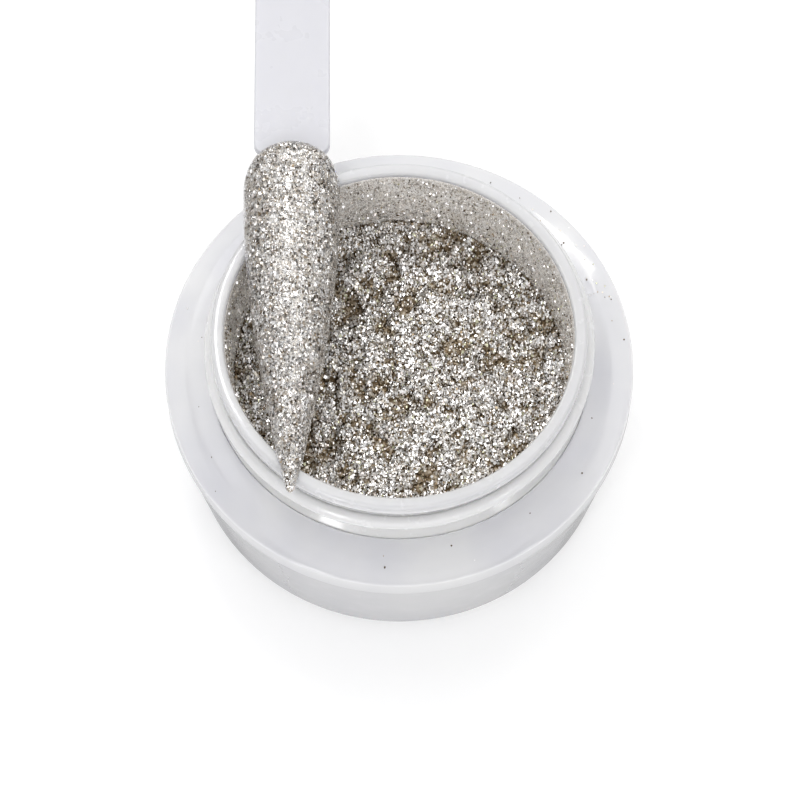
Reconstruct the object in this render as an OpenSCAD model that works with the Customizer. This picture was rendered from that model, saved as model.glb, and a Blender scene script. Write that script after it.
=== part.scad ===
// Open double-wall cosmetic jar of glitter, with a nail display stick lying across its mouth.
// The origin is the centre of the jar's underside, +Z is up and the stick runs along Y.

/* [Jar] */
// Largest diameter of the jar, at the band under its shoulder
jar_d = 55; // [53:0.5:60]
// Height of the jar from its underside to its rim
jar_h = 30; // [28:0.5:36]
// Diameter of the underside, measured across the flat of the foot
foot_d = 47.4; // [45:0.2:49]
// Diameter of the side wall just above the foot's rounded corner
wall_foot_d = 50.6; // [50:0.2:52]
// Thickness of the outer shell
shell_t = 1.6; // [1.2:0.1:2]

/* [Neck and cup] */
// Diameter of the mouth
mouth_d = 40.4; // [38:0.2:40.8]
// Diameter of the plain bead round the rim
neck_d = 43.4; // [43:0.1:43.6]
// Height of the neck above the shoulder
neck_h = 7.8; // [7:0.1:9]
// Pitch of the neck's screw thread
thread_pitch = 2.5; // [2:0.1:2.5]
// Number of turns of the thread
thread_turns = 1.1; // [0.75:0.05:1.1]
// Depth of the bowl from the rim to its floor
bowl_depth = 23.5; // [22:0.5:24]
// Thickness of the bowl
bowl_t = 1.5; // [1.2:0.1:1.6]

/* [Contents] */
// Depth from the rim to the glitter's surface
fill_drop = 12.7; // [8:0.1:14]
// Thickness of the glitter film that clings to the wall above the fill
film_t = 0.25; // [0.15:0.05:0.4]

/* [Display stick] */
// Distance of the stick's centre line from the jar's axis, towards -X
stick_offset = 12.4; // [11:0.1:13]
// Angle by which the stick lies askew of the Y axis, its handle turned towards -X
stick_turn = 0.4; // [0:0.1:2]
// Length of the nail from its cuticle end to its point
nail_l = 43.1; // [42:0.1:45]
// Greatest width of the finished nail over its coats
nail_w = 11.3; // [10.8:0.1:12]
// Distance of the cuticle end behind the jar's axis
nail_end_y = 23.4; // [23:0.1:24]
// Width of the flat handle
handle_w = 8.9; // [8:0.1:9.2]
// Thickness of the flat handle
handle_t = 1.2; // [1:0.1:1.3]
// Length of the handle behind the cuticle end
handle_l = 34.6; // [30:0.2:60]

/* [Hidden] */

$fn = 128;

// Outer shell
jar_r = jar_d / 2;
shoulder_z = jar_h - neck_h;      // the shoulder's inner edge, where the neck comes through
shoulder_drop = 1.9;              // how far the shoulder falls to the band
band_top_z = shoulder_z - shoulder_drop;
band_h = 2.4;
band_low_z = band_top_z - band_h;
foot_r = foot_d / 2;
wall_foot_r = wall_foot_d / 2;
foot_round_z = 1.7;
edge_round = 0.35;
seat_r = 22.3;                    // the shoulder's hole, which the cup sits in
seat_h = 1.6;
shell_in_r = jar_r - shell_t;
shell_in_foot_r = wall_foot_r - shell_t;

// Base plate, let into the open bottom of the shell
plate_r = 22.6;
plate_t = 1.6;
ledge_r = 21.2;
ledge_h = 0.7;

// Inner cup: a bowl, its seat in the shell and the threaded neck in one moulding
mouth_r = mouth_d / 2;
neck_r = neck_d / 2;
rim_round = 0.5;
neck_flare_h = 0.5;
wall_r = neck_r - 0.3;            // the neck's wall under the rim bead, which carries the thread
bead_low_z = jar_h - 1.6;
mouth_straight = 3;               // the wall is a true cylinder for this far under the rim
bowl_floor_z = jar_h - bowl_depth;
bowl_low_r = mouth_r - 0.7;
bowl_round = 7;
thread_height = 1.25;
thread_foot_w = 1.3;
thread_crest_w = 0.5;
thread_root = 0.3;                // how deep the thread's root is sunk into the neck
thread_start_z = jar_h - 5.25;
thread_start_angle = 72;
thread_steps = 48;

// Contents
fill_z = jar_h - fill_drop;
fill_crown = 0.5;
film_top_z = jar_h - 0.7;

// Display stick
lift_gap = 0.15;                  // the stick's clearance over the rim
stick_z = jar_h + lift_gap;
blank_t = 0.6;
layer_gap = 0.03;                 // between two layers of the nail
glitter_side_t = 0.35;
glitter_top_t = 0.4;
gloss_side_t = 0.15;
gloss_top_t = 0.2;
blank_w = nail_w / 2 - glitter_side_t - gloss_side_t;
arch_h = 2.9;
cuticle_part = 0.13;              // share of the nail's length that its rounded end takes
tip_share = 0.06;
tip_coat_share = 0.4;             // how thin the coats run out at the point
tip_start = 0.985;                // where the point starts to round off
tip_end_share = 0.45;             // what is left of its width at the very end
taper = 1.25;                     // how fast the sides close in on the point
stations = 25;
arc_steps = 12;
tongue_w = 6;
tongue_y = 12;
handle_start_y = nail_end_y - 1.2;
handle_end_y = nail_end_y + handle_l;
corner_r = 1.5;
ring_hole_r = 1.5;
pad_w = 4.8;
pad_l = 6;
pad_t = 0.7;
pad_y = 17;
pad_corner = 0.8;

// Radius of the bowl's inside at height z: straight at the mouth, then a slight draft.
function bowl_r(z) =
    let (draft_top = jar_h - mouth_straight, draft_low = bowl_floor_z + bowl_round)
    z >= draft_top ? mouth_r
        : mouth_r + (bowl_low_r - mouth_r) * (draft_top - z) / (draft_top - draft_low);

// Points of a round corner about centre c, from angle a to angle b.
function arc(c, r, a, b, steps = 8) =
    [for (i = [0:steps]) let (t = a + (b - a) * i / steps) [c.x + r * cos(t), c.y + r * sin(t)]];

// The bowl's inside outline, from its wall at height top down to the middle of the floor.
function bowl_outline(top) = concat(
    top > jar_h - mouth_straight ? [[mouth_r, top], [mouth_r, jar_h - mouth_straight]] : [[bowl_r(top), top]],
    arc([bowl_low_r - bowl_round, bowl_floor_z + bowl_round], bowl_round, 0, -90),
    [[0, bowl_floor_z]]
);

module outer_shell() {
    foot_arc = arc([wall_foot_r - 1.9, foot_round_z], 1.9, -7, -62);
    color([0.93, 0.93, 0.96, 0.35])
    rotate_extrude()
    polygon(concat(
        [[seat_r, shoulder_z - seat_h], [seat_r, shoulder_z], [25, shoulder_z - 0.62]],
        arc([jar_r - edge_round, band_top_z], edge_round, 70, 0, 4),
        [[jar_r, band_low_z], [jar_r - 0.12, band_low_z - 0.15]],
        foot_arc,
        [[foot_r, 0], [plate_r, 0], [plate_r, ledge_h], [ledge_r, ledge_h], [ledge_r, plate_t]],
        [[shell_in_foot_r - 0.5, plate_t], [shell_in_foot_r, plate_t + 0.8]],
        [[shell_in_r, band_low_z], [shell_in_r, band_top_z - shell_t], [shell_in_r - 0.6, band_top_z - 0.9]]
    ));
}

module base_plate() {
    color([0.9, 0.9, 0.94, 0.4])
    union() {
        cylinder(h = ledge_h, r = plate_r);
        cylinder(h = plate_t, r = ledge_r);
    }
}

// The bowl's outside, under the seat.
module cup_body() {
    out_low_r = bowl_low_r + bowl_t;
    out_round = bowl_round + bowl_t;
    rotate_extrude()
    polygon(concat(
        [[mouth_r, jar_h]],
        arc([neck_r - rim_round, jar_h - rim_round], rim_round, 90, 0, 5),
        [[neck_r, bead_low_z], [wall_r, bead_low_z - 0.2], [wall_r, shoulder_z + neck_flare_h]],
        [[seat_r, shoulder_z], [seat_r, shoulder_z - seat_h]],
        [[bowl_r(shoulder_z - seat_h) + bowl_t, shoulder_z - seat_h - 0.4]],
        arc([out_low_r - out_round, bowl_floor_z + bowl_round], out_round, 0, -90),
        [[0, bowl_floor_z - bowl_t], [0, bowl_floor_z]],
        arc([bowl_low_r - bowl_round, bowl_floor_z + bowl_round], bowl_round, -90, 0),
        [[mouth_r, jar_h - mouth_straight]]
    ));
}

// One ring of the thread's ridge at share s of its run; the ridge fades out at both ends.
function thread_ring(s) =
    let (
        a = thread_start_angle + 360 * thread_turns * s,
        z = thread_start_z + thread_pitch * thread_turns * s,
        fade = min(1, 8 * min(s, 1 - s) + 0.15),
        r_in = wall_r - thread_root,
        r_out = wall_r + thread_height * fade,
        foot = thread_foot_w / 2,
        crest = thread_crest_w / 2
    )
    [for (p = [[r_in, foot], [r_out, crest], [r_out, -crest], [r_in, -foot]])
        [p.x * cos(a), p.x * sin(a), z + p.y]];

// A closed tube through rings of equal size.
module skin(rings) {
    n = len(rings[0]);
    last = len(rings) - 1;
    points = [for (ring = rings) each ring];
    sides = [for (i = [0:last - 1], j = [0:n - 1])
        let (k = (j + 1) % n)
        each [[i * n + j, (i + 1) * n + j, (i + 1) * n + k], [i * n + j, (i + 1) * n + k, i * n + k]]];
    start = [[for (j = [0:n - 1]) j]];
    end = [[for (j = [n - 1:-1:0]) last * n + j]];
    polyhedron(points = points, faces = concat(sides, start, end), convexity = 6);
}

module neck_thread() {
    skin([for (i = [0:thread_steps]) thread_ring(i / thread_steps)]);
}

module inner_cup() {
    color([0.95, 0.95, 0.97, 0.75])
    union() {
        cup_body();
        neck_thread();
    }
}

module glitter_fill() {
    color([0.66, 0.62, 0.57])
    rotate_extrude()
    polygon(concat([[0, fill_z + fill_crown], [bowl_r(fill_z) * 0.6, fill_z + fill_crown * 0.7]], bowl_outline(fill_z)));
}

module wall_film() {
    low_r = bowl_r(fill_z);
    bend_z = jar_h - mouth_straight;
    color([0.72, 0.69, 0.66])
    rotate_extrude()
    polygon([
        [low_r, fill_z], [mouth_r, bend_z], [mouth_r, film_top_z],
        [mouth_r - film_t, film_top_z - film_t], [mouth_r - film_t, bend_z], [low_r - film_t, fill_z + 0.05]
    ]);
}

// Half-width of the nail's blank at share u of its length, from cuticle end to point.
function half_w(u) =
    let (round_u = min(1, u / cuticle_part), s = max(0, (u - cuticle_part) / (1 - cuticle_part)))
    blank_w * sqrt(1 - pow(1 - round_u, 2)) * (tip_share + (1 - tip_share) * pow(1 - s * s, taper));

// Share of its full section that the rounded point keeps there.
function tip_round(u) =
    let (t = max(0, (u - tip_start) / (1 - tip_start)))
    max(tip_end_share, sqrt(max(0, 1 - t * t)));

// Height of the arch there: rounded at the cuticle, long and low towards the point.
function arch(u) = arch_h * half_w(u) / blank_w * (1 + 0.25 * u);

// Height of the nail's side edge: it steps up onto the handle at the cuticle end.
function edge_z(u) =
    let (t = min(1, max(0, (cuticle_part - u) / 0.1)))
    (handle_t + 0.05) * t * t * (3 - 2 * t);

// One C-shaped ring of a layer between two offsets over the blank, each [sideways, upwards].
function nail_ring(u, over, under) =
    let (
        w = half_w(u),
        h = arch(u),
        y = nail_end_y - nail_l * u,
        z = stick_z + edge_z(u),
        coat = min(1, tip_coat_share + 6 * (1 - u)),
        tip = tip_round(u),
        out_w = tip * (w + over.x * coat),
        out_h = tip * (h + over.y * coat),
        in_w = tip * max(w + under.x * coat, 0.5 * w),
        in_h = tip * max(h + under.y * coat, 0.5 * h)
    )
    concat(
        [for (i = [0:arc_steps]) let (a = 180 * i / arc_steps) [out_w * cos(a), y, z + out_h * sin(a)]],
        [for (i = [arc_steps:-1:0]) let (a = 180 * i / arc_steps) [in_w * cos(a), y, z + in_h * sin(a)]]
    );

// Stations crowd towards the cuticle end and the point, where the outline turns fastest.
module nail_layer(over, under) {
    body = [for (i = [0:stations]) tip_start * pow(0.03 + 0.97 * i / stations, 1.7)];
    point = [for (t = [0.5, 0.85, 1]) tip_start + (1 - tip_start) * t];
    on_stick() skin([for (u = concat(body, point)) nail_ring(u, over, under)]);
}

// From the stick's own centre line to where it lies.
module on_stick() {
    translate([-stick_offset, 0, 0]) rotate([0, 0, stick_turn]) children();
}

module nail_tip() {
    color([0.94, 0.94, 0.95, 0.6])
    nail_layer([0, 0], [-blank_t, -blank_t]);
}

module glitter_coat() {
    color([0.78, 0.75, 0.71])
    nail_layer([glitter_side_t, glitter_top_t], [layer_gap, layer_gap]);
}

module top_coat() {
    outer = [glitter_side_t + gloss_side_t, glitter_top_t + gloss_top_t];
    color([0.97, 0.97, 0.98, 0.3])
    nail_layer(outer, [glitter_side_t + layer_gap, glitter_top_t + layer_gap]);
}

module stick_handle() {
    half = handle_w / 2;
    shoulder_l = handle_end_y - half - handle_start_y - corner_r;
    color([0.92, 0.92, 0.95, 0.8])
    on_stick() translate([0, 0, stick_z])
    linear_extrude(handle_t)
    difference() {
        union() {
            translate([-half, handle_start_y + corner_r]) square([handle_w, shoulder_l]);
            for (side = [-1, 1]) translate([side * (half - corner_r), handle_start_y + corner_r]) circle(corner_r);
            translate([corner_r - half, handle_start_y]) square([handle_w - 2 * corner_r, corner_r]);
            translate([0, handle_end_y - half]) circle(half);
            translate([-tongue_w / 2, tongue_y]) square([tongue_w, handle_start_y - tongue_y + 0.1]);
        }
        translate([0, handle_end_y - half]) circle(ring_hole_r);
    }
}

module adhesive_pad() {
    color([0.9, 0.88, 0.84])
    on_stick() translate([0, pad_y, stick_z + handle_t])
    linear_extrude(pad_t)
    offset(pad_corner)
    square([pad_w - 2 * pad_corner, pad_l - 2 * pad_corner], center = true);
}

outer_shell();
base_plate();
inner_cup();
glitter_fill();
wall_film();
stick_handle();
nail_tip();
adhesive_pad();
glitter_coat();
top_coat();
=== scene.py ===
"""Looks of an open glitter jar with a nail display stick across its mouth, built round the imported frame."""
import math

import bpy
import numpy as np
from mathutils import Matrix, Vector, noise


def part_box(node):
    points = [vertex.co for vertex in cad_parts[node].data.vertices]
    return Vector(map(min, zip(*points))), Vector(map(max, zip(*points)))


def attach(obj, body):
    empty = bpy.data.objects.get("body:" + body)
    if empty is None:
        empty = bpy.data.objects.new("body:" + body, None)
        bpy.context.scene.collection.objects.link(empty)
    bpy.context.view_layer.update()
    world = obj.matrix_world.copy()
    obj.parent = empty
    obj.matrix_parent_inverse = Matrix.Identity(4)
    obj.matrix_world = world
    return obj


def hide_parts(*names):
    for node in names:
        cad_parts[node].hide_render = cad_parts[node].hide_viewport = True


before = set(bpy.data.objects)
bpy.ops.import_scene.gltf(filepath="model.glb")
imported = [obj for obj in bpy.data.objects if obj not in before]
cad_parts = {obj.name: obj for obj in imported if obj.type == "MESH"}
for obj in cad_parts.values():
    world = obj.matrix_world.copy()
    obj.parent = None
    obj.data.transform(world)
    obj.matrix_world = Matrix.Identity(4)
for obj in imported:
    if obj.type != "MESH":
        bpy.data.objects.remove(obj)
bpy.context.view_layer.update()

MM = 0.001
rng = np.random.default_rng(296)

# ---------------------------------------------------------------- sizes, in metres

SHELL_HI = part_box("outer_shell")[1]
CUP_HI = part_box("inner_cup")[1]
FILL_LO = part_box("glitter_fill")[0]
FILM_LO, FILM_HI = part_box("wall_film")
PLATE_TOP_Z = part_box("base_plate")[1].z

JAR_R = SHELL_HI.x
SHOULDER_Z = SHELL_HI.z
RIM_Z = CUP_HI.z
SEAT_R = 22.3 * MM
PLATE_R = 22.6 * MM
LEDGE_R = 21.2 * MM
LEDGE_Z = 0.7 * MM
BEND_R = 25 * MM              # where the shoulder starts to fall away more steeply
BEND_Z = SHOULDER_Z - 0.62 * MM
NECK_R = 21.7 * MM
NECK_WALL_R = NECK_R - 0.3 * MM
BEAD_LOW_Z = RIM_Z - 1.6 * MM
MOUTH_R = FILM_HI.x
BAND_TOP_Z = SHOULDER_Z - 1.9 * MM
BAND_LOW_Z = BAND_TOP_Z - 2.4 * MM
WALL_FOOT_R = 25.3 * MM
FOOT_R = 23.7 * MM
SHELL_T = 1.6 * MM
BOWL_FLOOR_Z = FILL_LO.z
BOWL_T = 1.5 * MM
BOWL_LOW_R = MOUTH_R - 0.7 * MM
BOWL_ROUND = 7 * MM
MOUTH_STRAIGHT = 3 * MM
FILL_Z = FILM_LO.z
FILM_T = 0.25 * MM

STICK_X = -12.4 * MM
STICK_TURN = math.radians(0.4)
STICK_Z = RIM_Z + 0.15 * MM
HANDLE_W = 8.9 * MM
HANDLE_T = 1.2 * MM
TONGUE_W = 6 * MM
TONGUE_Y = 12 * MM
RING_HOLE_R = 1.5 * MM
PAD_Y = 17 * MM
PAD_SIZE = (4.8 * MM, 6 * MM, 0.7 * MM)
NAIL_END_Y = 23.4 * MM
HANDLE_END_Y = NAIL_END_Y + 34.6 * MM
NAIL_L = 43.1 * MM
BLANK_W = 5.15 * MM
BLANK_T = 0.6 * MM
ARCH_H = 2.9 * MM
CUTICLE_PART = 0.13
TIP_SHARE = 0.06
TIP_START = 0.985
TAPER = 1.25
# Offsets over the nail tip's blank, each (side, top).
COAT_BED_OVER = (0.28 * MM, 0.33 * MM)
COAT_FLAKES_OVER = (0.32 * MM, 0.37 * MM)
GEL_UNDER = (0.30 * MM, 0.35 * MM)
GEL_OVER = (0.5 * MM, 0.6 * MM)


# ---------------------------------------------------------------- camera, floor and light

def make_camera():
    elevation = math.radians(67.62)
    distance = 0.420
    target = Vector((0.0001, -0.0024, 0.0155))
    data = bpy.data.cameras.new("camera")
    data.sensor_width = 36
    data.lens = 159.6
    data.clip_start = 0.01
    data.clip_end = 20
    camera = bpy.data.objects.new("camera", data)
    bpy.context.scene.collection.objects.link(camera)
    back = Vector((0, -math.cos(elevation), math.sin(elevation)))
    camera.location = target + back * distance
    camera.rotation_euler = (-back).to_track_quat("-Z", "Y").to_euler()
    bpy.context.scene.camera = camera


def make_floor():
    mesh = bpy.data.meshes.new("floor")
    half = 3.0
    z = -0.05 * MM  # just clear of the jar's underside, so that the two faces don't flicker
    mesh.from_pydata([(-half, -half, z), (half, -half, z), (half, half, z), (-half, half, z)], [], [(0, 1, 2, 3)])
    floor = bpy.data.objects.new("floor", mesh)
    bpy.context.scene.collection.objects.link(floor)
    material, shader = principled(
        "floor_white", colour=(0.66, 0.66, 0.66), roughness=0.8, Emission_Color=(1, 1, 1, 1), Specular_IOR_Level=0.2
    )
    # The floor's own glow whitens the backdrop and lights nothing else.
    tree = material.node_tree
    path = tree.nodes.new("ShaderNodeLightPath")
    glow = tree.nodes.new("ShaderNodeMath")
    glow.operation = "MULTIPLY"
    glow.inputs[1].default_value = 0.365
    tree.links.new(path.outputs["Is Camera Ray"], glow.inputs[0])
    tree.links.new(glow.outputs[0], shader.inputs["Emission Strength"])
    mesh.materials.append(material)


def area_light(name, place, aim, size, power, colour=(1, 1, 1)):
    data = bpy.data.lights.new(name, "AREA")
    data.shape = "RECTANGLE"
    data.size, data.size_y = size
    data.energy = power
    data.color = colour
    light = bpy.data.objects.new(name, data)
    bpy.context.scene.collection.objects.link(light)
    light.location = place
    light.rotation_euler = (Vector(aim) - Vector(place)).to_track_quat("-Z", "Y").to_euler()


def make_world():
    """A white studio that is brighter overhead than at the horizon."""
    world = bpy.data.worlds.new("studio")
    world.use_nodes = True
    nodes, links = world.node_tree.nodes, world.node_tree.links
    background = nodes["Background"]
    place = nodes.new("ShaderNodeTexCoord")
    split = nodes.new("ShaderNodeSeparateXYZ")
    ramp = nodes.new("ShaderNodeValToRGB")
    links.new(place.outputs["Generated"], split.inputs[0])
    links.new(split.outputs["Z"], ramp.inputs["Fac"])
    links.new(ramp.outputs["Color"], background.inputs["Color"])
    stops = ramp.color_ramp.elements
    stops[0].position, stops[0].color = 0.0, (0.94, 0.94, 0.96, 1)
    stops[1].position, stops[1].color = 0.85, (1.0, 1.0, 1.0, 1)
    background.inputs["Strength"].default_value = 0.72
    bpy.context.scene.world = world


def make_lights():
    centre = (0, 0, 0.02)
    area_light("overhead_back", (-0.03, 0.28, 0.52), centre, (0.60, 0.50), 1.2)
    area_light("overhead_strip", (-0.10, 0.25, 0.54), centre, (0.05, 0.14), 0.28)
    area_light("front_soft", (0, -0.55, 0.30), centre, (0.70, 0.35), 0.76, (0.98, 0.97, 1.0))
    area_light("front_left", (-0.28, -0.48, 0.40), centre, (0.10, 0.20), 0.5)
    area_light("front_right", (0.42, -0.40, 0.36), centre, (0.08, 0.18), 0.22)
    area_light("back_right", (0.30, 0.46, 0.40), centre, (0.16, 0.20), 0.27, (1.0, 0.98, 0.90))


# ---------------------------------------------------------------- materials

def principled(name, colour, roughness, **sockets):
    """A new material with these values on its shader's own sockets; names have _ for a space."""
    material = bpy.data.materials.new(name)
    material.use_nodes = True
    shader = material.node_tree.nodes["Principled BSDF"]
    shader.inputs["Base Color"].default_value = (*colour, 1)
    shader.inputs["Roughness"].default_value = roughness
    for key, value in sockets.items():
        shader.inputs[key.replace("_", " ")].default_value = value
    return material, shader


class Tree:
    """Short calls for building one material's nodes, in the piece's own Object coordinates."""

    def __init__(self, material):
        self.nodes = material.node_tree.nodes
        self.links = material.node_tree.links
        self.place = self.nodes.new("ShaderNodeTexCoord").outputs["Object"]

    def link(self, source, target):
        self.links.new(source, target)

    def noise(self, size, detail=4.0, roughness=0.5, stretch=(1, 1, 1)):
        """Noise whose blotches are about size metres across."""
        spread = self.nodes.new("ShaderNodeMapping")
        spread.inputs["Scale"].default_value = stretch
        self.link(self.place, spread.inputs["Vector"])
        node = self.nodes.new("ShaderNodeTexNoise")
        node.inputs["Scale"].default_value = 1 / size
        node.inputs["Detail"].default_value = detail
        node.inputs["Roughness"].default_value = roughness
        self.link(spread.outputs["Vector"], node.inputs["Vector"])
        return node.outputs["Fac"]

    def cells(self, size, output="Color"):
        """Cells about size metres across: a random colour each, or the distance to the cell's middle."""
        node = self.nodes.new("ShaderNodeTexVoronoi")
        node.inputs["Scale"].default_value = 1 / size
        node.inputs["Randomness"].default_value = 1.0
        self.link(self.place, node.inputs["Vector"])
        return node.outputs[output]

    def ramp(self, source, stops):
        node = self.nodes.new("ShaderNodeValToRGB")
        node.color_ramp.interpolation = "LINEAR"
        elements = node.color_ramp.elements
        while len(elements) < len(stops):
            elements.new(0.5)
        for element, (position, colour) in zip(elements, stops):
            element.position = position
            element.color = (*colour, 1)
        self.link(source, node.inputs["Fac"])
        return node.outputs["Color"]

    def grey(self, source, low, high, start=0.0, end=1.0):
        node = self.nodes.new("ShaderNodeMapRange")
        node.inputs["From Min"].default_value = start
        node.inputs["From Max"].default_value = end
        node.inputs["To Min"].default_value = low
        node.inputs["To Max"].default_value = high
        self.link(source, node.inputs["Value"])
        return node.outputs["Result"]

    def red(self, colour):
        node = self.nodes.new("ShaderNodeSeparateColor")
        self.link(colour, node.inputs["Color"])
        return node.outputs["Red"]

    def mix(self, share, a, b):
        node = self.nodes.new("ShaderNodeMix")
        node.data_type = "RGBA"
        self.link(share, node.inputs["Factor"])
        for key, value in (("A", a), ("B", b)):
            socket = [s for s in node.inputs if s.name == key and s.type == "RGBA"][0]
            if isinstance(value, tuple):
                socket.default_value = (*value, 1)
            else:
                self.link(value, socket)
        return [s for s in node.outputs if s.type == "RGBA"][0]

    def bump(self, height, depth, before=None):
        """A bump whose full swing of height is depth metres."""
        node = self.nodes.new("ShaderNodeBump")
        node.inputs["Strength"].default_value = 1.0
        node.inputs["Distance"].default_value = depth
        self.link(height, node.inputs["Height"])
        if before is not None:
            self.link(before, node.inputs["Normal"])
        return node.outputs["Normal"]


def clear_shell_material():
    """Glossy moulding with a hazy body, a faint lavender tint, soft flow ripples and hairline scuffs."""
    material, shader = principled(
        "clear_shell", (0.93, 0.93, 0.955), 0.15,
        Transmission_Weight=0.50, IOR=1.49, Coat_Weight=0.35, Coat_Roughness=0.12, Coat_IOR=1.5,
    )
    tree = Tree(material)
    ripple = tree.bump(tree.noise(5 * MM, 2.0), 0.012 * MM)
    scuffs = tree.noise(0.5 * MM, 3.0, 0.6, (1, 1, 0.15))
    tree.link(tree.bump(scuffs, 0.001 * MM, ripple), shader.inputs["Normal"])
    tree.link(tree.grey(tree.noise(2.5 * MM, 5.0), 0.08, 0.18, 0.35, 0.75), shader.inputs["Roughness"])
    streaks = tree.noise(9 * MM, 2.0, 0.4, (1, 1, 0.4))
    tint = tree.ramp(streaks, [(0.35, (0.88, 0.88, 0.92)), (0.65, (0.98, 0.98, 0.985))])
    tree.link(tint, shader.inputs["Base Color"])
    return material


def frosted_cup_material():
    """Milky moulding that light soaks into, under a soft gloss; paler below the rim, as painted light for the part
    inside the shell where less light reaches.
    """
    material, shader = principled(
        "frosted_cup", (0.64, 0.64, 0.66), 0.22,
        Subsurface_Weight=1.0, Subsurface_Scale=1.0, Subsurface_Radius=(4.0 * MM, 4.0 * MM, 4.4 * MM),
        Coat_Weight=0.7, Coat_Roughness=0.07, IOR=1.49,
    )
    tree = Tree(material)
    rim = tree.ramp(tree.noise(3 * MM, 4.0), [(0.3, (0.54, 0.54, 0.55)), (0.7, (0.57, 0.57, 0.58))])
    # Up the neck the tone goes from the pale lower colour to the rim colour: painted light on the part inside the
    # shell, where it gets less light.
    height = tree.nodes.new("ShaderNodeSeparateXYZ")
    tree.link(tree.place, height.inputs["Vector"])
    share = tree.grey(height.outputs["Z"], 0.0, 1.0, BEAD_LOW_Z, RIM_Z - 0.4 * MM)
    tree.link(tree.mix(share, (0.80, 0.80, 0.82), rim), shader.inputs["Base Color"])
    tree.link(tree.grey(tree.noise(1.2 * MM, 4.0), 0.16, 0.30, 0.3, 0.7), shader.inputs["Roughness"])
    tree.link(tree.bump(tree.noise(2.2 * MM, 3.0), 0.012 * MM), shader.inputs["Normal"])
    return material


def plate_material():
    """The shell's own plastic where it closes the foot: hazier, and pale with painted light that stands in for the
    bright floor seen through clear plastic.
    """
    material, shader = principled(
        "clear_plate", (0.92, 0.92, 0.94), 0.25,
        Transmission_Weight=0.2, IOR=1.49, Coat_Weight=0.5, Coat_Roughness=0.08,
    )
    tree = Tree(material)
    tree.link(tree.grey(tree.noise(1.8 * MM, 4.0), 0.18, 0.34, 0.3, 0.7), shader.inputs["Roughness"])
    tree.link(tree.bump(tree.noise(3 * MM, 3.0), 0.01 * MM), shader.inputs["Normal"])
    return material


def glitter_bed_material(name, cell, stops, metal=0.85, gap=(0.55, 0.50, 0.44)):
    """Packed flakes too small to build one by one: each cell is a facet with its own tone and tilt, and the bed
    darkens between clumps as painted shade.
    """
    material, shader = principled(name, (0.7, 0.66, 0.6), 0.32, Metallic=metal)
    tree = Tree(material)
    tone = tree.red(tree.cells(cell))
    clump = tree.noise(1.3 * MM, 3.0)
    colour = tree.ramp(tone, stops)
    # Between the clumps the bed darkens towards the gap colour: painted shade.
    shade = tree.ramp(clump, [(0.35, gap), (0.62, (1.0, 1.0, 1.0))])
    both = tree.nodes.new("ShaderNodeMix")
    both.data_type, both.blend_type = "RGBA", "MULTIPLY"
    both.inputs["Factor"].default_value = 1.0
    colours = [s for s in both.inputs if s.type == "RGBA"]
    tree.link(colour, colours[0])
    tree.link(shade, colours[1])
    tree.link([s for s in both.outputs if s.type == "RGBA"][0], shader.inputs["Base Color"])
    tree.link(tree.grey(tone, 0.18, 0.5), shader.inputs["Roughness"])
    facet = tree.cells(cell, "Distance")
    tree.link(tree.bump(facet, 0.25 * cell), shader.inputs["Normal"])
    return material


FLAKE_TONES = {
    "flake_white": ((0.99, 0.98, 0.97), 0.24),
    "flake_silver": ((0.95, 0.93, 0.91), 0.28),
    "flake_champagne": ((0.92, 0.87, 0.79), 0.30),
    "flake_rose": ((0.92, 0.84, 0.81), 0.30),
    "flake_taupe": ((0.66, 0.60, 0.52), 0.30),
    "flake_bronze": ((0.30, 0.23, 0.15), 0.34),
    "flake_umber": ((0.10, 0.07, 0.04), 0.40),
    "flake_olive": ((0.70, 0.70, 0.50), 0.26),
}


def flake_materials():
    made = []
    for name, (colour, roughness) in FLAKE_TONES.items():
        made.append(principled(name, colour, roughness, Metallic=1.0)[0])
    return made


def stick_material():
    """Translucent whitish strip with a satin face and a few hairline scratches."""
    material, shader = principled(
        "stick_plastic", (0.59, 0.59, 0.62), 0.28,
        Subsurface_Weight=0.5, Subsurface_Scale=1.0, Subsurface_Radius=(1.5 * MM, 1.5 * MM, 1.7 * MM),
        Coat_Weight=0.3, Coat_Roughness=0.12, IOR=1.49,
    )
    tree = Tree(material)
    tone = tree.noise(6 * MM, 3.0)
    tint = tree.ramp(tone, [(0.3, (0.588, 0.588, 0.618)), (0.7, (0.597, 0.597, 0.627))])
    tree.link(tint, shader.inputs["Base Color"])
    scratches = tree.noise(0.8 * MM, 2.0, 0.5, (1, 0.08, 1))
    waves = tree.bump(tree.noise(5 * MM, 1.0), 0.006 * MM)
    tree.link(tree.bump(scratches, 0.004 * MM, waves), shader.inputs["Normal"])
    tree.link(tree.grey(tree.noise(4 * MM, 3.0), 0.26, 0.31, 0.3, 0.7), shader.inputs["Roughness"])
    return material


def natural_tip_material():
    """Clear moulded blank, seen only at its edges and from below."""
    material, shader = principled(
        "natural_tip", (0.95, 0.95, 0.95), 0.15, Transmission_Weight=0.75, IOR=1.49
    )
    tree = Tree(material)
    tree.link(tree.bump(tree.noise(1.5 * MM, 3.0), 0.01 * MM), shader.inputs["Normal"])
    return material


def gel_material():
    """Thick glossy gel: its highlight breaks up over the lumps of the glitter under it."""
    material, shader = principled("clear_gel", (0.985, 0.98, 0.975), 0.05, Transmission_Weight=1.0, IOR=1.45)
    tree = Tree(material)
    broad = tree.bump(tree.noise(1.6 * MM, 2.0), 0.10 * MM)
    tree.link(tree.bump(tree.noise(0.5 * MM, 2.0), 0.02 * MM, broad), shader.inputs["Normal"])
    return material


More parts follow.
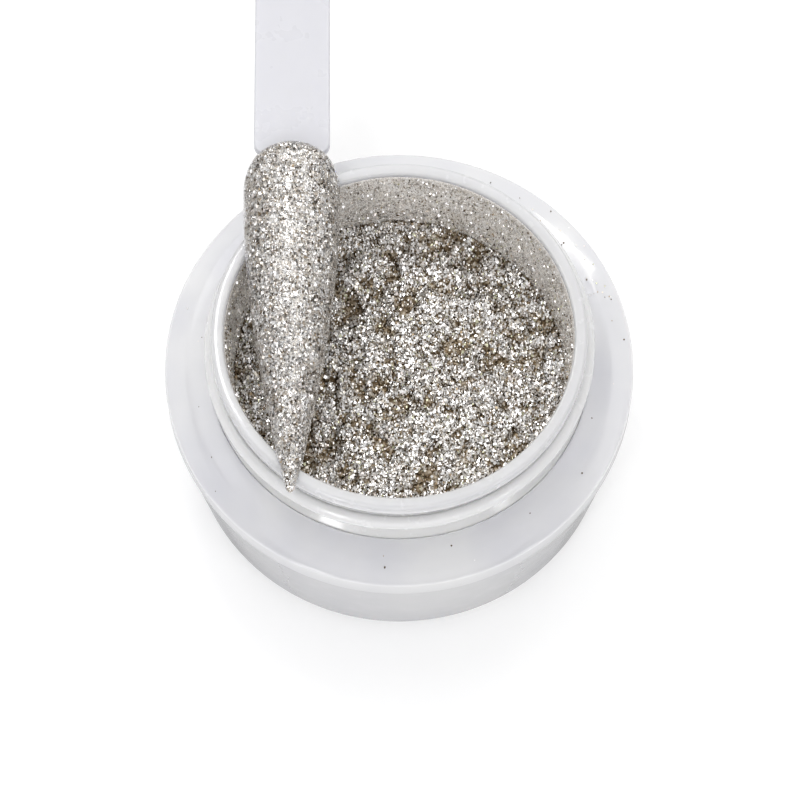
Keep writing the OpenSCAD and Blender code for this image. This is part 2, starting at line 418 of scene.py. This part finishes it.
def adhesive_material():
    """Soft off-white putty."""
    material, shader = principled("adhesive", (0.88, 0.86, 0.82), 0.6, Subsurface_Weight=0.3,
                                  Subsurface_Scale=1.0, Subsurface_Radius=(MM, MM, MM))
    tree = Tree(material)
    tree.link(tree.bump(tree.noise(0.7 * MM, 5.0), 0.08 * MM), shader.inputs["Normal"])
    tree.link(tree.ramp(tree.noise(1.0 * MM), [(0.3, (0.82, 0.79, 0.74)), (0.7, (0.92, 0.90, 0.86))]),
              shader.inputs["Base Color"])
    return material


# ---------------------------------------------------------------- mesh helpers

def add_object(name, points, faces, materials):
    mesh = bpy.data.meshes.new(name)
    mesh.from_pydata([tuple(p) for p in points], [], faces)
    mesh.polygons.foreach_set("use_smooth", [True] * len(mesh.polygons))
    for material in materials:
        mesh.materials.append(material)
    mesh.update()
    made = bpy.data.objects.new(name, mesh)
    bpy.context.scene.collection.objects.link(made)
    return made


def rounded(corners, steps=5):
    """A closed outline of [r, z, radius] corners, each turned into an arc that touches both its sides."""
    out = []
    count = len(corners)
    for i, (r, z, radius) in enumerate(corners):
        here = np.array([r, z])
        before = np.array(corners[i - 1][:2]) - here
        after = np.array(corners[(i + 1) % count][:2]) - here
        if radius <= 0:
            out.append(here)
            continue
        a, b = before / np.linalg.norm(before), after / np.linalg.norm(after)
        half = math.acos(float(np.clip(a @ b, -1, 1))) / 2
        reach = min(radius / math.tan(half), 0.49 * np.linalg.norm(before), 0.49 * np.linalg.norm(after))
        start, end = here + a * reach, here + b * reach
        for k in range(steps + 1):
            t = k / steps
            out.append((1 - t) ** 2 * start + 2 * t * (1 - t) * here + t ** 2 * end)
    return np.array(out)


def lathe(name, outline, materials, turns=192):
    """The solid that a closed outline in (r, z) sweeps round the Z axis; an outline may touch the axis."""
    angles = np.arange(turns) * 2 * math.pi / turns
    on_axis = outline[:, 0] < 1e-7
    points, first = [], []
    for (r, z), axis in zip(outline, on_axis):
        first.append(len(points))
        if axis:
            points.append((0, 0, z))
        else:
            points += [(r * math.cos(t), r * math.sin(t), z) for t in angles]
    faces = []
    count = len(outline)
    for i in range(count):
        j = (i + 1) % count
        if on_axis[i] and on_axis[j]:
            continue
        for k in range(turns):
            m = (k + 1) % turns
            a, b = first[i] + (0 if on_axis[i] else k), first[i] + (0 if on_axis[i] else m)
            c, d = first[j] + (0 if on_axis[j] else m), first[j] + (0 if on_axis[j] else k)
            face = [a, b, c, d]
            if on_axis[i]:
                face = [a, c, d]
            if on_axis[j]:
                face = [a, b, c]
            faces.append(face)
    return add_object(name, points, faces, materials)


def bowl_r(z):
    """Radius of the bowl's inside: straight at the mouth, then a slight draft."""
    top, low = RIM_Z - MOUTH_STRAIGHT, BOWL_FLOOR_Z + BOWL_ROUND
    if z >= top:
        return MOUTH_R
    return MOUTH_R + (BOWL_LOW_R - MOUTH_R) * (top - z) / (top - low)


# ---------------------------------------------------------------- jar

def make_shell(material):
    underside = SHOULDER_Z - SHELL_T
    inner_r = JAR_R - SHELL_T
    inner_foot_r = WALL_FOOT_R - SHELL_T
    outline = rounded([
        (SEAT_R, underside, 0.2 * MM),
        (SEAT_R, SHOULDER_Z, 0.25 * MM),
        (BEND_R, BEND_Z, 4 * MM),
        (JAR_R, BAND_TOP_Z + 0.25 * MM, 0.5 * MM),
        (JAR_R, BAND_LOW_Z, 0.1 * MM),
        (JAR_R - 0.14 * MM, BAND_LOW_Z - 0.15 * MM, 0.1 * MM),
        (WALL_FOOT_R, 1.3 * MM, 1.5 * MM),
        (FOOT_R + 0.15 * MM, 0, 0.4 * MM),
        (PLATE_R, 0, 0.08 * MM),
        (PLATE_R, LEDGE_Z, 0.05 * MM),
        (LEDGE_R, LEDGE_Z, 0.05 * MM),
        (LEDGE_R, PLATE_TOP_Z, 0.1 * MM),
        (inner_foot_r, PLATE_TOP_Z + 0.1 * MM, 1.2 * MM),
        (inner_r, BAND_LOW_Z, 1.0 * MM),
        (inner_r, BAND_TOP_Z - SHELL_T + 0.3 * MM, 1.2 * MM),
    ])
    shell = lathe("outer_shell_moulding", outline, [material], 256)
    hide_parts("outer_shell")
    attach(shell, "jar")


def make_plate(material):
    gap = 0.015 * MM
    outline = rounded([
        (0, 0, 0),
        (PLATE_R - gap, 0, 0.12 * MM),
        (PLATE_R - gap, LEDGE_Z - gap, 0.06 * MM),
        (LEDGE_R - gap, LEDGE_Z - gap, 0.06 * MM),
        (LEDGE_R - gap, PLATE_TOP_Z, 0.12 * MM),
        (0, PLATE_TOP_Z, 0),
    ])
    plate = lathe("base_plate_disc", outline, [material], 256)
    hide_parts("base_plate")
    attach(plate, "jar")


def make_cup(material):
    out_low_r = BOWL_LOW_R + BOWL_T
    seat_z = SHOULDER_Z - SHELL_T
    clear = 0.03 * MM
    outline = rounded([
        (0, BOWL_FLOOR_Z - BOWL_T, 0),
        (out_low_r - clear, BOWL_FLOOR_Z - BOWL_T, BOWL_ROUND + BOWL_T),
        (bowl_r(seat_z) + BOWL_T, seat_z - 0.5 * MM, 0.3 * MM),
        (SEAT_R - clear, seat_z - 0.05 * MM, 0.1 * MM),
        (SEAT_R - clear, SHOULDER_Z + 0.05 * MM, 0.3 * MM),
        (NECK_WALL_R, SHOULDER_Z + 0.7 * MM, 0.4 * MM),
        (NECK_WALL_R, BEAD_LOW_Z - 0.9 * MM, 1.5 * MM),
        (NECK_R, BEAD_LOW_Z + 0.1 * MM, 1.5 * MM),
        (NECK_R, RIM_Z, 0.55 * MM),
        (MOUTH_R, RIM_Z, 0.35 * MM),
        (MOUTH_R, RIM_Z - MOUTH_STRAIGHT, 0.2 * MM),
        (BOWL_LOW_R, BOWL_FLOOR_Z, BOWL_ROUND),
        (0, BOWL_FLOOR_Z, 0),
    ], 8)
    cup = lathe("inner_cup_moulding", outline, [material], 256)
    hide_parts("inner_cup")
    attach(cup, "jar")


def make_thread(material):
    """The neck's screw ridge: a rounded rib that rises out of the neck, climbs one turn and fades again."""
    pitch, turns = 2.5 * MM, 1.1
    start_z = RIM_Z - 5.25 * MM
    start_angle = math.radians(72)
    height, root = 1.25 * MM, 0.25 * MM
    half_foot = 0.95 * MM
    steps, around = 260, 14
    points, faces = [], []
    for i in range(steps + 1):
        s = i / steps
        a = start_angle + 2 * math.pi * turns * s
        z = start_z + pitch * turns * s
        fade = min(1.0, 8 * min(s, 1 - s) + 0.12)
        fade = fade * fade * (3 - 2 * fade)
        for k in range(around):
            t = math.pi * k / (around - 1) - math.pi / 2
            bulge = math.cos(t) ** 0.7 if math.cos(t) > 1e-6 else 0.0
            r = NECK_WALL_R - root + (root + height * fade) * bulge
            points.append((r * math.cos(a), r * math.sin(a), z + half_foot * math.sin(t)))
    for i in range(steps):
        for k in range(around):
            m = (k + 1) % around
            faces.append([i * around + k, (i + 1) * around + k, (i + 1) * around + m, i * around + m])
    faces.append(list(range(around)))
    faces.append([steps * around + k for k in reversed(range(around))])
    thread = add_object("neck_thread_rib", points, faces, [material])
    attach(thread, "jar")


# ---------------------------------------------------------------- glitter

def lumps(x, y, size, seed):
    """Smooth noise from about -1 to 1 whose lumps are size metres across; seed picks the pattern."""
    return noise.noise(Vector((x / size, y / size, seed)))


def hollow(x, y):
    """How deep in a gap between the clumps a place is, from 0 on a clump to 1."""
    clumps = 1.1 * lumps(x, y, 2.5 * MM, 21.0)
    drift = 0.7 * lumps(x, y, 7 * MM, 2.0)
    crumbs = 0.7 * lumps(x, y, 1.0 * MM, 5.0)
    return min(1.0, max(0.0, 0.40 + clumps + drift + crumbs))


def fill_height(x, y):
    """The uneven top of the loose glitter: broad hollows, clumps and crumbs, lapping up at the wall."""
    r = math.hypot(x, y) / bowl_r(FILL_Z)
    broad = 0.55 * lumps(x, y, 9 * MM, 3.1) + 0.35 * lumps(x, y, 3.2 * MM, 7.7)
    crumbs = 0.22 * lumps(x, y, 1.1 * MM, 11.3)
    lap = 0.9 * max(0.0, r - 0.86) / 0.14
    return FILL_Z + (0.45 + broad + crumbs + lap - 0.5 * hollow(x, y)) * MM


def flake_cloud(name, centres, normals, sizes, tilt, weights, materials, sides=4, dark=None):
    """One mesh of separate flat flakes. Each lies on its surface, tipped at random by up to about tilt radians,
    and dark, from 0 to 1 per flake, pulls its tone towards the far end of weights."""
    count = len(centres)
    normals = normals + rng.normal(0, tilt, (count, 3))
    normals /= np.linalg.norm(normals, axis=1, keepdims=True)
    helper = np.where(np.abs(normals[:, :1]) > 0.8, [[0.0, 1.0, 0.0]], [[1.0, 0.0, 0.0]])
    u = np.cross(normals, helper)
    u /= np.linalg.norm(u, axis=1, keepdims=True)
    v = np.cross(normals, u)
    spin = rng.uniform(0, 2 * math.pi, count)
    stretch = rng.uniform(0.45, 1.0, count)
    points = np.empty((count, sides, 3))
    for k in range(sides):
        a = spin + 2 * math.pi * k / sides
        wobble = rng.uniform(0.72, 1.15, count)
        x = (np.cos(a) * sizes * wobble)[:, None]
        y = (np.sin(a) * sizes * wobble * stretch)[:, None]
        points[:, k] = centres + u * x + v * y
    mesh = bpy.data.meshes.new(name)
    mesh.vertices.add(count * sides)
    mesh.vertices.foreach_set("co", points.ravel())
    mesh.loops.add(count * sides)
    mesh.loops.foreach_set("vertex_index", np.arange(count * sides))
    mesh.polygons.add(count)
    mesh.polygons.foreach_set("loop_start", np.arange(count) * sides)
    mesh.polygons.foreach_set("loop_total", np.full(count, sides))
    for material in materials:
        mesh.materials.append(material)
    share = np.cumsum(np.array(weights, float) / sum(weights))
    draw = rng.uniform(0, 1, count)
    if dark is not None:
        draw = draw ** (2.3 - 1.9 * dark)
    tones = np.minimum(np.searchsorted(share, draw), len(weights) - 1)
    mesh.polygons.foreach_set("material_index", tones)
    mesh.update(calc_edges=True)
    mesh.validate()
    cloud = bpy.data.objects.new(name, mesh)
    bpy.context.scene.collection.objects.link(cloud)
    return cloud


# Tones of the three beds, from the darkest facets to the palest. The fill's bed is kept dark where it shows between
# the flakes: partly the glitter's own brown, partly painted shade in the gaps.
FILL_BED = [
    (0.0, (0.05, 0.032, 0.015)), (0.45, (0.16, 0.115, 0.065)), (0.8, (0.42, 0.36, 0.28)), (1.0, (0.75, 0.72, 0.67))
]
DUST_BED = [(0.0, (0.52, 0.47, 0.42)), (0.3, (0.94, 0.91, 0.87)), (1.0, (0.99, 0.98, 0.96))]
COAT_BED = [(0.0, (0.54, 0.48, 0.42)), (0.3, (0.88, 0.84, 0.79)), (1.0, (0.97, 0.95, 0.92))]

# Shares of the tones in FLAKE_TONES' order.
FILL_TONES = (32, 26, 12, 6, 3, 6, 11, 4)
FILM_TONES = (44, 22, 9, 5, 2, 8, 7, 3)
COAT_TONES = (32, 26, 13, 8, 2, 6, 13, 0)


def make_fill(bed, flakes):
    rings, turns = 90, 240
    points, faces = [(0, 0, fill_height(0, 0))], []
    gap = 0.02 * MM
    edge_r = bowl_r(FILL_Z) - gap
    for i in range(1, rings + 1):
        r = edge_r * i / rings
        for k in range(turns):
            a = 2 * math.pi * k / turns
            x, y = r * math.cos(a), r * math.sin(a)
            points.append((x, y, fill_height(x, y)))
    for k in range(turns):
        faces.append([0, 1 + k, 1 + (k + 1) % turns])
    for i in range(rings - 1):
        for k in range(turns):
            m = (k + 1) % turns
            a, b = 1 + i * turns, 1 + (i + 1) * turns
            faces.append([a + k, b + k, b + m, a + m])
    # The bed closes downwards along the bowl.
    low_ring = 1 + (rings - 1) * turns
    under = [(bowl_r(z) - gap, z) for z in np.linspace(FILL_Z - 0.3 * MM, BOWL_FLOOR_Z + BOWL_ROUND, 4)]
    under += [
        (BOWL_LOW_R - gap - BOWL_ROUND * (1 - math.cos(t)), BOWL_FLOOR_Z + gap + BOWL_ROUND * (1 - math.sin(t)))
        for t in np.linspace(0.2, math.pi / 2, 7)
    ]
    for r, z in under:
        base = len(points)
        points += [(r * math.cos(2 * math.pi * k / turns), r * math.sin(2 * math.pi * k / turns), z)
                   for k in range(turns)]
        for k in range(turns):
            m = (k + 1) % turns
            faces.append([low_ring + k, base + k, base + m, low_ring + m])
        low_ring = base
    faces.append([low_ring + k for k in reversed(range(turns))])
    fill = add_object("glitter_fill_bed", points, faces, [bed])
    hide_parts("glitter_fill")
    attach(fill, "jar")

    count = 62000
    radius = (bowl_r(FILL_Z) - 0.35 * MM) * np.sqrt(rng.uniform(0, 1, count))
    angle = rng.uniform(0, 2 * math.pi, count)
    x, y = radius * np.cos(angle), radius * np.sin(angle)
    z = np.array([fill_height(a, b) for a, b in zip(x, y)])
    step = 0.15 * MM
    slope_x = np.array([fill_height(a + step, b) for a, b in zip(x, y)]) - z
    slope_y = np.array([fill_height(a, b + step) for a, b in zip(x, y)]) - z
    normals = np.stack([-slope_x / step, -slope_y / step, np.ones(count)], 1)
    # Deep in the hollows the flakes are fewer, so the dark bed shows, and take darker tones: painted shade in the
    # hollows.
    deep = np.array([hollow(a, b) for a, b in zip(x, y)])
    keep = rng.uniform(0, 1, count) > 0.8 * np.clip((deep - 0.45) / 0.45, 0, 1)
    x, y, z, normals, deep = x[keep], y[keep], z[keep], normals[keep], deep[keep]
    count = len(x)
    z += rng.uniform(-0.05, 0.28, count) * MM
    sizes = rng.choice([0.10, 0.14, 0.19, 0.26], count, p=[0.25, 0.35, 0.28, 0.12]) * MM
    cloud = flake_cloud("glitter_fill_flakes", np.stack([x, y, z], 1), normals, sizes, 0.32, FILL_TONES, flakes,
                        dark=deep)
    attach(cloud, "jar")


def make_film(bed, flakes):
    """The cup wall over the fill: a thin bed of dust and, stuck to it, fine flakes."""
    top = FILM_HI.z
    rows, turns = 40, 256
    points, faces = [], []
    for inner in (True, False):
        for i in range(rows + 1):
            z = FILL_Z + (top - FILL_Z) * i / rows
            for k in range(turns):
                a = 2 * math.pi * k / turns
                fade = min(1.0, (rows - i) / 4 + 0.15)
                ragged = 1 + 0.5 * noise.noise(Vector((math.cos(a) * 30, math.sin(a) * 30, z / (1.2 * MM))))
                r = bowl_r(z) - (FILM_T * 0.6 * fade * ragged if inner else 0.005 * MM)
                points.append((r * math.cos(a), r * math.sin(a), z))
    half = (rows + 1) * turns
    for i in range(rows):
        for k in range(turns):
            m = (k + 1) % turns
            a, b = i * turns, (i + 1) * turns
            faces.append([a + k, b + k, b + m, a + m])
            faces.append([half + a + k, half + a + m, half + b + m, half + b + k])
    for k in range(turns):
        m = (k + 1) % turns
        faces.append([k, m, half + m, half + k])
        a = rows * turns
        faces.append([a + k, half + a + k, half + a + m, a + m])
    film = add_object("wall_film_dust", points, faces, [bed])
    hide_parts("wall_film")
    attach(film, "jar")

    count = 30000
    angle = rng.uniform(0, 2 * math.pi, count)
    z = FILL_Z + (top - FILL_Z - 0.1 * MM) * rng.uniform(0, 1, count)
    low = rng.uniform(0, 1, count) < 0.3
    z[low] = FILL_Z + 4 * MM * rng.uniform(0, 1, low.sum()) ** 1.5
    radius = np.array([bowl_r(h) for h in z]) - rng.uniform(0.17, 0.30, count) * MM
    centres = np.stack([radius * np.cos(angle), radius * np.sin(angle), z], 1)
    normals = np.stack([-np.cos(angle), -np.sin(angle), np.zeros(count)], 1)
    sizes = rng.choice([0.11, 0.15, 0.20], count, p=[0.45, 0.4, 0.15]) * MM
    cloud = flake_cloud("wall_film_flakes", centres, normals, sizes, 0.65, FILM_TONES, flakes)
    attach(cloud, "jar")


def make_spill(flakes):
    """A few stray flakes that fell on the shoulder."""
    angle = np.radians(np.concatenate([
        rng.normal(28, 9, 26), rng.normal(48, 14, 12), rng.uniform(-30, 200, 16), rng.uniform(200, 330, 8)
    ]))
    count = len(angle)
    radius = rng.uniform(23.0, 26.8, count) * MM
    slope = 0.62 / 2.7  # the shoulder's fall from its seat to the bend
    z = SHOULDER_Z - (radius - SEAT_R) * slope + 0.05 * MM
    outside = radius > BEND_R
    z[outside] = BEND_Z - (radius[outside] - BEND_R) * 0.4 + 0.06 * MM
    centres = np.stack([radius * np.cos(angle), radius * np.sin(angle), z], 1)
    normals = np.stack([slope * np.cos(angle), slope * np.sin(angle), np.ones(count)], 1)
    sizes = rng.uniform(0.07, 0.16, count) * MM
    cloud = flake_cloud("stray_flakes", centres, normals, sizes, 0.12, (1, 2, 2, 1, 4, 6, 8, 1), flakes, sides=5)
    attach(cloud, "jar")


# ---------------------------------------------------------------- display stick

def half_w(u):
    """Half-width of the blank at share u of the nail's length, from cuticle end to point."""
    round_u = min(1.0, u / CUTICLE_PART)
    s = max(0.0, (u - CUTICLE_PART) / (1 - CUTICLE_PART))
    return BLANK_W * math.sqrt(1 - (1 - round_u) ** 2) * (TIP_SHARE + (1 - TIP_SHARE) * (1 - s * s) ** TAPER)


def edge_z(u):
    """Height of the nail's side edge: it steps up onto the handle at the cuticle end."""
    t = min(1.0, max(0.0, (CUTICLE_PART - u) / 0.1))
    return (HANDLE_T + 0.05 * MM) * t * t * (3 - 2 * t)


def nail_point(u, a, over):
    """A point on the nail at share u of its length and angle a of its arch, with a coat of over = (side, top)."""
    w = half_w(u)
    h = ARCH_H * w / BLANK_W * (1 + 0.25 * u)
    thin = min(1.0, 0.4 + 6 * (1 - u))
    past = max(0.0, (u - TIP_START) / (1 - TIP_START))
    point = max(0.12, math.sqrt(max(0.0, 1 - past * past)))
    wide = max(w + over[0] * thin, 0.5 * w) * point
    high = max(h + over[1] * thin, 0.5 * h) * point
    y = NAIL_END_Y - NAIL_L * u
    return np.array([wide * math.cos(a), y, STICK_Z + edge_z(u) + high * math.sin(a)])


def lay_on_rim(made):
    """Moves a piece made on the stick's own centre line to where the stick lies."""
    made.data.transform(Matrix.Translation((STICK_X, 0, 0)) @ Matrix.Rotation(STICK_TURN, 4, "Z"))
    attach(made, "display_stick")


def nail_layer(name, over, under, materials, rough=0.0, stations=150, arc=56):
    """One layer of the nail as a closed shell; rough is the height of the lumps on its outside."""
    points, faces = [], []
    ring = 2 * (arc + 1)
    along = [TIP_START * (0.03 + 0.97 * i / stations) ** 1.7 for i in range(stations + 1)]
    along += [TIP_START + (1 - TIP_START) * math.sin(t) for t in np.linspace(0, math.pi / 2, 9)[1:]]
    for u in along:
        for k in range(arc + 1):
            a = math.pi * k / arc
            p = nail_point(u, a, over)
            if rough:
                out = Vector((math.cos(a), 0, math.sin(a)))
                bump = 0.6 * noise.noise(Vector(p) / (1.6 * MM)) + 0.4 * noise.noise(Vector(p) / (0.7 * MM))
                p = p + np.array(out) * rough * bump * min(1.0, 3 * math.sin(a) + 0.2) * min(1.0, 8 * (1 - u) + 0.1)
            points.append(p)
        for k in range(arc, -1, -1):
            points.append(nail_point(u, math.pi * k / arc, under))
    last = len(along) - 1
    for i in range(last):
        for k in range(ring):
            m = (k + 1) % ring
            faces.append([i * ring + k, i * ring + m, (i + 1) * ring + m, (i + 1) * ring + k])
    faces.append([k for k in reversed(range(ring))])
    faces.append([last * ring + k for k in range(ring)])
    return add_object(name, points, faces, materials)


def make_nail(tip, bed, flakes, gel):
    blank = nail_layer("nail_tip_blank", (0, 0), (-BLANK_T, -BLANK_T), [tip])
    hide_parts("nail_tip")
    lay_on_rim(blank)

    coat = nail_layer("glitter_coat_bed", COAT_BED_OVER, (0.01 * MM, 0.01 * MM), [bed], rough=0.09 * MM)
    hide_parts("glitter_coat")
    lay_on_rim(coat)

    count = 14000
    along = rng.uniform(0.0, 1, count * 2)
    keep = rng.uniform(0, 1, count * 2) < np.array([0.12 + half_w(u) / BLANK_W for u in along])
    along = along[keep][:count]
    count = len(along)
    angle = np.arccos(rng.uniform(-1, 1, count))
    centres = np.array([nail_point(u, a, COAT_FLAKES_OVER) for u, a in zip(along, angle)])
    ahead = np.array([nail_point(min(1, u + 0.004), a, COAT_FLAKES_OVER) for u, a in zip(along, angle)])
    beside = np.array([nail_point(u, a + 0.02, COAT_FLAKES_OVER) for u, a in zip(along, angle)])
    normals = np.cross(ahead - centres, beside - centres)
    normals /= np.maximum(np.linalg.norm(normals, axis=1, keepdims=True), 1e-12)
    flip = (normals[:, 2] < 0) & (np.sin(angle) > 0.05)
    normals[flip] *= -1
    centres += normals * rng.uniform(-0.03, 0.12, count)[:, None] * MM
    dark = np.array([0.45 + 1.1 * lumps(p[0], p[1], 1.2 * MM, 41.0) + 0.5 * lumps(p[0], p[1], 0.5 * MM, 9.0)
                     for p in centres])
    dark = np.clip(dark, 0, 1)
    sizes = rng.choice([0.09, 0.13, 0.18, 0.26], count, p=[0.3, 0.35, 0.25, 0.1]) * MM
    cloud = flake_cloud("glitter_coat_flakes", centres, normals, sizes, 0.26, COAT_TONES, flakes,
                        dark=dark)
    lay_on_rim(cloud)

    gloss = nail_layer("top_coat_gel", GEL_OVER, GEL_UNDER, [gel], rough=0.05 * MM)
    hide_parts("top_coat")
    lay_on_rim(gloss)


def make_handle(material):
    """The flat strip: a filled outline with its ring hole, extruded, with softened edges."""
    half = HANDLE_W / 2
    start_y = NAIL_END_Y - 1.2 * MM
    end_y = HANDLE_END_Y
    corner = 1.5 * MM
    soft = 0.22 * MM

    def side_edge(side):
        """From the tongue's end, round the corner to the strip's long edge."""
        turn = [(side * (half - corner + corner * math.sin(t)), start_y + corner - corner * math.cos(t))
                for t in np.linspace(0, math.pi / 2, 9)]
        return [(side * TONGUE_W / 2, TONGUE_Y), (side * TONGUE_W / 2, start_y)] + turn

    far = [(half * math.cos(t), end_y - half + half * math.sin(t)) for t in np.linspace(0, math.pi, 33)]
    loop = side_edge(1) + far[1:-1] + side_edge(-1)[::-1]
    ring = [(RING_HOLE_R * math.cos(t), end_y - half + RING_HOLE_R * math.sin(t))
            for t in np.linspace(0, 2 * math.pi, 33)[:-1]]
    curve = bpy.data.curves.new("stick_handle_strip", "CURVE")
    curve.dimensions = "2D"
    curve.fill_mode = "BOTH"
    curve.extrude = HANDLE_T / 2 - soft
    curve.bevel_depth = soft
    curve.bevel_resolution = 4
    curve.offset = -soft
    for path in (loop, ring):
        spline = curve.splines.new("POLY")
        spline.points.add(len(path) - 1)
        spline.points.foreach_set("co", [c for x, y in path for c in (x, y, 0, 1)])
        spline.use_cyclic_u = True
    shape = bpy.data.objects.new("strip_outline", curve)
    bpy.context.scene.collection.objects.link(shape)
    bpy.context.view_layer.update()
    mesh = bpy.data.meshes.new_from_object(shape.evaluated_get(bpy.context.evaluated_depsgraph_get()))
    bpy.data.objects.remove(shape)
    for vertex in mesh.vertices:
        vertex.co.z += STICK_Z + HANDLE_T / 2
    mesh.materials.clear()
    mesh.materials.append(material)
    handle = bpy.data.objects.new("stick_handle_strip", mesh)
    bpy.context.scene.collection.objects.link(handle)
    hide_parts("stick_handle")
    lay_on_rim(handle)


def make_pad(material):
    """A pressed lump of adhesive with bulged, uneven sides."""
    size = Vector(PAD_SIZE) / 2
    centre = Vector((0, PAD_Y, STICK_Z + HANDLE_T + size.z))
    rows, turns = 12, 64
    points, faces = [], []
    for i in range(rows + 1):
        v = -1 + 2 * i / rows
        bulge = (1 - abs(v) ** 4) ** 0.5 * 0.12 + 0.88
        for k in range(turns):
            t = 2 * math.pi * k / turns
            c, s = math.cos(t), math.sin(t)
            square = (abs(c) ** 3.2 + abs(s) ** 3.2) ** (-1 / 3.2)
            wobble = 1 + 0.035 * noise.noise(Vector((c * 2, s * 2, v)))
            points.append((
                centre.x + size.x * c * square * bulge * wobble * 0.99,
                centre.y + size.y * s * square * bulge * wobble * 0.99,
                centre.z + size.z * v,
            ))
    for i in range(rows):
        for k in range(turns):
            m = (k + 1) % turns
            faces.append([i * turns + k, i * turns + m, (i + 1) * turns + m, (i + 1) * turns + k])
    faces.append([k for k in reversed(range(turns))])
    faces.append([rows * turns + k for k in range(turns)])
    pad = add_object("adhesive_lump", points, faces, [material])
    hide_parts("adhesive_pad")
    lay_on_rim(pad)


# ---------------------------------------------------------------- build

bpy.context.scene.view_settings.view_transform = "Standard"
make_camera()
make_world()
make_lights()
make_floor()

clear = clear_shell_material()
frosted = frosted_cup_material()
flakes = flake_materials()
make_shell(clear)
make_plate(plate_material())
make_cup(frosted)
make_thread(frosted)
# The fill's bed darkens between clumps to the default gap colour: painted shade.
fill_bed = glitter_bed_material("glitter_bed", 0.30 * MM, FILL_BED)
make_fill(fill_bed, flakes)
# The last colour is the faint painted shade between the dust's clumps.
film_bed = glitter_bed_material("glitter_dust", 0.13 * MM, DUST_BED, 0.1, (0.95, 0.93, 0.90))
make_film(film_bed, flakes)
make_spill(flakes)
make_handle(stick_material())
make_pad(adhesive_material())
tip = natural_tip_material()
# The last colour is the painted shade between the coat's clumps.
coat_bed = glitter_bed_material("glitter_coat", 0.20 * MM, COAT_BED, 0.3, (0.62, 0.56, 0.48))
make_nail(tip, coat_bed, flakes, gel_material())
